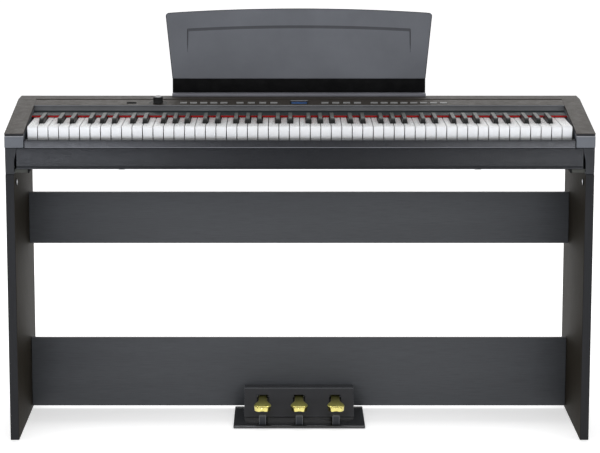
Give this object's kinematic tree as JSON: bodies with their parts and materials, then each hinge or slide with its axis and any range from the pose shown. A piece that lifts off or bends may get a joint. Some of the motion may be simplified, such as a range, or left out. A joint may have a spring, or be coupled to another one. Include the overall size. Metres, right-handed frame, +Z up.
{
  "type": "digital piano on stand",
  "caption": "Slim digital piano with a full keyboard, sloping control panel and music rest, on a black panel stand with crossbars and a pedal unit.",
  "frame": {"origin": "on the floor under the middle of the whole object", "axes": "+X to the player's right, along the keyboard; +Y to the rear, away from the player; +Z up"},
  "size_m": [1.318, 0.3935, 0.95],
  "materials": {
    "board_black": "black wood-grain foil on board",
    "body_grey": "fine satin",
    "case_grey": "grained",
    "key_white": "polished",
    "key_black": "satin",
    "felt_red": "felt",
    "pedal_black": "gloss",
    "brass": "polished",
    "steel": "zinc plated",
    "rubber_grey": "matte",
    "board_green": "solder mask",
    "cone_black": "paper cone",
    "glass_blue": "clear window over a dark blue display",
    "rest_grey": "fine satin",
    "grip_black": "matte",
    "button_grey": "satin"
  },
  "bodies": {
    "piano": {"bottom_case": "case_grey", "contact_board": "board_green", "control_panel": "body_grey", "display_module": "glass_blue", "key_felt": "felt_red", "key_frame": "steel", "key_pivot_rod": "steel", "key_slip": "body_grey", "left_end_block": "body_grey", "left_panel_bolt": "steel", "left_pedal_spring": "steel", "left_side_panel": "board_black", "left_speaker": "cone_black", "left_support": "board_black", "lower_crossbar": "board_black", "main_board": "board_green", "middle_pedal_spring": "steel", "panel_board": "board_green", "pedal_axle": "steel", "pedal_base": "pedal_black", "pedal_cover": "pedal_black", "pedal_stop_rail": "rubber_grey", "rear_cover": "body_grey", "rear_jacks": "pedal_black", "right_end_block": "body_grey", "right_panel_bolt": "steel", "right_pedal_spring": "steel", "right_side_panel": "board_black", "right_speaker": "cone_black", "right_support": "board_black", "upper_crossbar": "board_black"},
    "key_c4": {"key_c4": "key_white"},
    "key_c_sharp4": {"key_c_sharp4": "key_black"},
    "key_d4": {"key_d4": "key_white"},
    "key_d_sharp4": {"key_d_sharp4": "key_black"},
    "key_e4": {"key_e4": "key_white"},
    "key_f4": {"key_f4": "key_white"},
    "key_f_sharp4": {"key_f_sharp4": "key_black"},
    "key_g4": {"key_g4": "key_white"},
    "key_g_sharp4": {"key_g_sharp4": "key_black"},
    "key_a4": {"key_a4": "key_white"},
    "key_a_sharp4": {"key_a_sharp4": "key_black"},
    "key_b4": {"key_b4": "key_white"},
    "bass_white_keys_a": {"bass_white_keys_a": "key_white"},
    "bass_white_keys_b": {"bass_white_keys_b": "key_white"},
    "bass_black_keys": {"bass_black_keys": "key_black"},
    "treble_white_keys_a": {"treble_white_keys_a": "key_white"},
    "treble_white_keys_b": {"treble_white_keys_b": "key_white"},
    "treble_black_keys": {"treble_black_keys": "key_black"},
    "left_pedal": {"left_pedal": "brass"},
    "middle_pedal": {"middle_pedal": "brass"},
    "right_pedal": {"right_pedal": "brass"},
    "button_row_1": {"button_row_1": "button_grey"},
    "button_row_2": {"button_row_2": "button_grey"},
    "button_row_3": {"button_row_3": "button_grey"},
    "button_row_4": {"button_row_4": "button_grey"},
    "power_button": {"power_button": "button_grey"},
    "volume_knob": {"volume_knob": "button_grey"},
    "music_rest": {"music_rest": "rest_grey", "music_rest_grip": "grip_black"}
  },
  "joints": [
    {"name": "key_c4_hinge", "type": "hinge", "parent": "piano", "child": "key_c4", "pos_m": [0, 0.0513, 0.7], "axis": [1, 0, 0], "range_deg": [0, 2.6], "stiffness_Nm_per_rad": 0.871, "springref_deg": -14.32},
    {"name": "key_c_sharp4_hinge", "type": "hinge", "parent": "piano", "child": "key_c_sharp4", "pos_m": [0, 0.0513, 0.7], "axis": [1, 0, 0], "range_deg": [0, 2.6], "stiffness_Nm_per_rad": 0.216, "springref_deg": -14.32},
    {"name": "key_d4_hinge", "type": "hinge", "parent": "piano", "child": "key_d4", "pos_m": [0, 0.0513, 0.7], "axis": [1, 0, 0], "range_deg": [0, 2.6], "stiffness_Nm_per_rad": 0.895, "springref_deg": -14.32},
    {"name": "key_d_sharp4_hinge", "type": "hinge", "parent": "piano", "child": "key_d_sharp4", "pos_m": [0, 0.0513, 0.7], "axis": [1, 0, 0], "range_deg": [0, 2.6], "stiffness_Nm_per_rad": 0.216, "springref_deg": -14.32},
    {"name": "key_e4_hinge", "type": "hinge", "parent": "piano", "child": "key_e4", "pos_m": [0, 0.0513, 0.7], "axis": [1, 0, 0], "range_deg": [0, 2.6], "stiffness_Nm_per_rad": 0.871, "springref_deg": -14.32},
    {"name": "key_f4_hinge", "type": "hinge", "parent": "piano", "child": "key_f4", "pos_m": [0, 0.0513, 0.7], "axis": [1, 0, 0], "range_deg": [0, 2.6], "stiffness_Nm_per_rad": 0.842, "springref_deg": -14.32},
    {"name": "key_f_sharp4_hinge", "type": "hinge", "parent": "piano", "child": "key_f_sharp4", "pos_m": [0, 0.0513, 0.7], "axis": [1, 0, 0], "range_deg": [0, 2.6], "stiffness_Nm_per_rad": 0.216, "springref_deg": -14.32},
    {"name": "key_g4_hinge", "type": "hinge", "parent": "piano", "child": "key_g4", "pos_m": [0, 0.0513, 0.7], "axis": [1, 0, 0], "range_deg": [0, 2.6], "stiffness_Nm_per_rad": 0.857, "springref_deg": -14.32},
    {"name": "key_g_sharp4_hinge", "type": "hinge", "parent": "piano", "child": "key_g_sharp4", "pos_m": [0, 0.0513, 0.7], "axis": [1, 0, 0], "range_deg": [0, 2.6], "stiffness_Nm_per_rad": 0.216, "springref_deg": -14.32},
    {"name": "key_a4_hinge", "type": "hinge", "parent": "piano", "child": "key_a4", "pos_m": [0, 0.0513, 0.7], "axis": [1, 0, 0], "range_deg": [0, 2.6], "stiffness_Nm_per_rad": 0.857, "springref_deg": -14.32},
    {"name": "key_a_sharp4_hinge", "type": "hinge", "parent": "piano", "child": "key_a_sharp4", "pos_m": [0, 0.0513, 0.7], "axis": [1, 0, 0], "range_deg": [0, 2.6], "stiffness_Nm_per_rad": 0.216, "springref_deg": -14.32},
    {"name": "key_b4_hinge", "type": "hinge", "parent": "piano", "child": "key_b4", "pos_m": [0, 0.0513, 0.7], "axis": [1, 0, 0], "range_deg": [0, 2.6], "stiffness_Nm_per_rad": 0.842, "springref_deg": -14.32},
    {"name": "bass_white_keys_a_hinge", "type": "hinge", "parent": "piano", "child": "bass_white_keys_a", "pos_m": [0, 0.0513, 0.7], "axis": [1, 0, 0], "range_deg": [0, 2.6], "stiffness_Nm_per_rad": 10.531, "springref_deg": -14.32},
    {"name": "bass_white_keys_b_hinge", "type": "hinge", "parent": "piano", "child": "bass_white_keys_b", "pos_m": [0, 0.0513, 0.7], "axis": [1, 0, 0], "range_deg": [0, 2.6], "stiffness_Nm_per_rad": 9.49, "springref_deg": -14.32},
    {"name": "bass_black_keys_hinge", "type": "hinge", "parent": "piano", "child": "bass_black_keys", "pos_m": [0, 0.0513, 0.7], "axis": [1, 0, 0], "range_deg": [0, 2.6], "stiffness_Nm_per_rad": 3.472, "springref_deg": -14.32},
    {"name": "treble_white_keys_a_hinge", "type": "hinge", "parent": "piano", "child": "treble_white_keys_a", "pos_m": [0, 0.0513, 0.7], "axis": [1, 0, 0], "range_deg": [0, 2.6], "stiffness_Nm_per_rad": 9.496, "springref_deg": -14.32},
    {"name": "treble_white_keys_b_hinge", "type": "hinge", "parent": "piano", "child": "treble_white_keys_b", "pos_m": [0, 0.0513, 0.7], "axis": [1, 0, 0], "range_deg": [0, 2.6], "stiffness_Nm_per_rad": 9.763, "springref_deg": -14.32},
    {"name": "treble_black_keys_hinge", "type": "hinge", "parent": "piano", "child": "treble_black_keys", "pos_m": [0, 0.0513, 0.7], "axis": [1, 0, 0], "range_deg": [0, 2.6], "stiffness_Nm_per_rad": 3.254, "springref_deg": -14.32},
    {"name": "left_pedal_hinge", "type": "hinge", "parent": "piano", "child": "left_pedal", "pos_m": [-0.0855, 0.0583, 0.036], "axis": [1, 0, 0], "range_deg": [0, 3.1], "stiffness_Nm_per_rad": 10.216, "springref_deg": -6.88, "deforming": ["left_pedal_spring"]},
    {"name": "middle_pedal_hinge", "type": "hinge", "parent": "piano", "child": "middle_pedal", "pos_m": [0, 0.0583, 0.036], "axis": [1, 0, 0], "range_deg": [0, 3.1], "stiffness_Nm_per_rad": 10.216, "springref_deg": -6.88, "deforming": ["middle_pedal_spring"]},
    {"name": "right_pedal_hinge", "type": "hinge", "parent": "piano", "child": "right_pedal", "pos_m": [0.0855, 0.0583, 0.036], "axis": [1, 0, 0], "range_deg": [0, 3.1], "stiffness_Nm_per_rad": 10.216, "springref_deg": -6.88, "deforming": ["right_pedal_spring"]},
    {"name": "button_row_1_slide", "type": "slide", "parent": "piano", "child": "button_row_1", "axis": [0, 0.1483, -0.9889], "range_m": [0, 0.001], "stiffness_N_per_m": 500, "springref_m": -0.002},
    {"name": "button_row_2_slide", "type": "slide", "parent": "piano", "child": "button_row_2", "axis": [0, 0.1483, -0.9889], "range_m": [0, 0.001], "stiffness_N_per_m": 500, "springref_m": -0.002},
    {"name": "button_row_3_slide", "type": "slide", "parent": "piano", "child": "button_row_3", "axis": [0, 0.1483, -0.9889], "range_m": [0, 0.001], "stiffness_N_per_m": 500, "springref_m": -0.002},
    {"name": "button_row_4_slide", "type": "slide", "parent": "piano", "child": "button_row_4", "axis": [0, 0.1483, -0.9889], "range_m": [0, 0.001], "stiffness_N_per_m": 500, "springref_m": -0.002},
    {"name": "power_button_slide", "type": "slide", "parent": "piano", "child": "power_button", "axis": [0, 0.1483, -0.9889], "range_m": [0, 0.001], "stiffness_N_per_m": 500, "springref_m": -0.002},
    {"name": "volume_knob_turn", "type": "hinge", "parent": "piano", "child": "volume_knob", "pos_m": [-0.329, 0.0493, 0.7419], "axis": [0, -0.1483, 0.9889], "range_deg": [-150, 150]},
    {"name": "music_rest_lift", "type": "slide", "parent": "piano", "child": "music_rest", "axis": [0, 0, 1], "range_m": [0, 0.03]}
  ]
}
